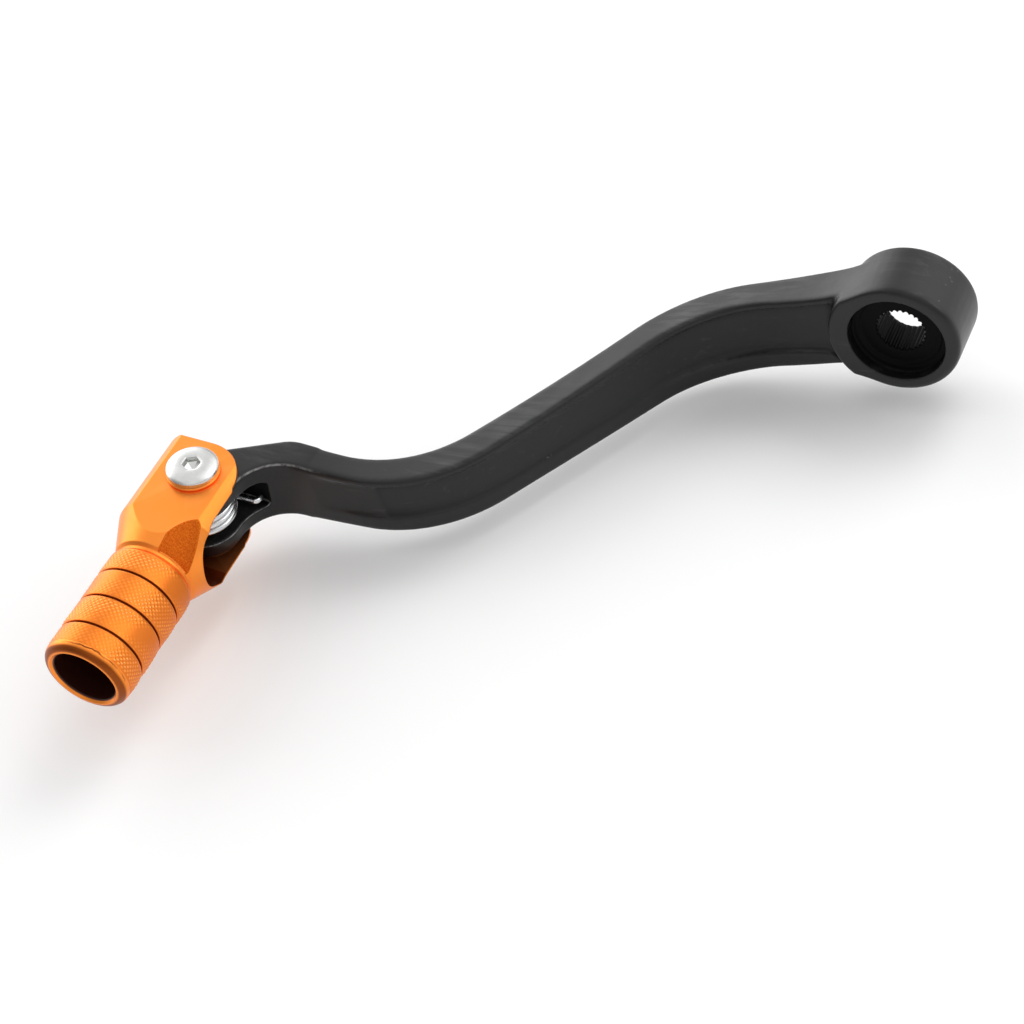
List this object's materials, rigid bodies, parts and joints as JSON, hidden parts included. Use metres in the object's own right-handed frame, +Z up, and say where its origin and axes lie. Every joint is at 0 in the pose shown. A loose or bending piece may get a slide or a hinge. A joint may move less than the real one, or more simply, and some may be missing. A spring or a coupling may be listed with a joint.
{
  "type": "gear shift lever",
  "caption": "Cranked gear shift lever with a splined boss and a folding, spring-returned toe tip with a ringed, knurled grip.",
  "frame": {"origin": "on the gear shaft axis, in the plane of the boss's outboard face", "axes": "+Y runs inboard along the gear shaft, +Z is up, and the arm runs from the boss towards -X"},
  "size_m": [0.1868, 0.1553, 0.0337],
  "materials": {
    "black_coat": "semi-gloss black coating over forged aluminium, with light scuffs",
    "orange_anodised": "orange anodised, machined and knurled",
    "bright_steel": "bright zinc-plated steel",
    "spring_steel": "bright drawn spring wire"
  },
  "bodies": {
    "arm": {"lever_arm": "black_coat", "thrust_washers": "bright_steel", "torsion_spring": "spring_steel"},
    "tip": {"toe_tip": "orange_anodised", "pivot_bolt": "bright_steel", "head_washer": "orange_anodised", "pivot_sleeve": "bright_steel", "lock_nut": "bright_steel"}
  },
  "joints": [
    {"name": "tip_fold", "type": "hinge", "parent": "arm", "child": "tip", "pos_m": [-0.15565, -0.0798, 0.0005], "axis": [0.225, 0, 0.9744], "range_deg": [0, 85], "stiffness_Nm_per_rad": 0.12, "springref_deg": -34.95, "deforming": ["torsion_spring"]}
  ]
}
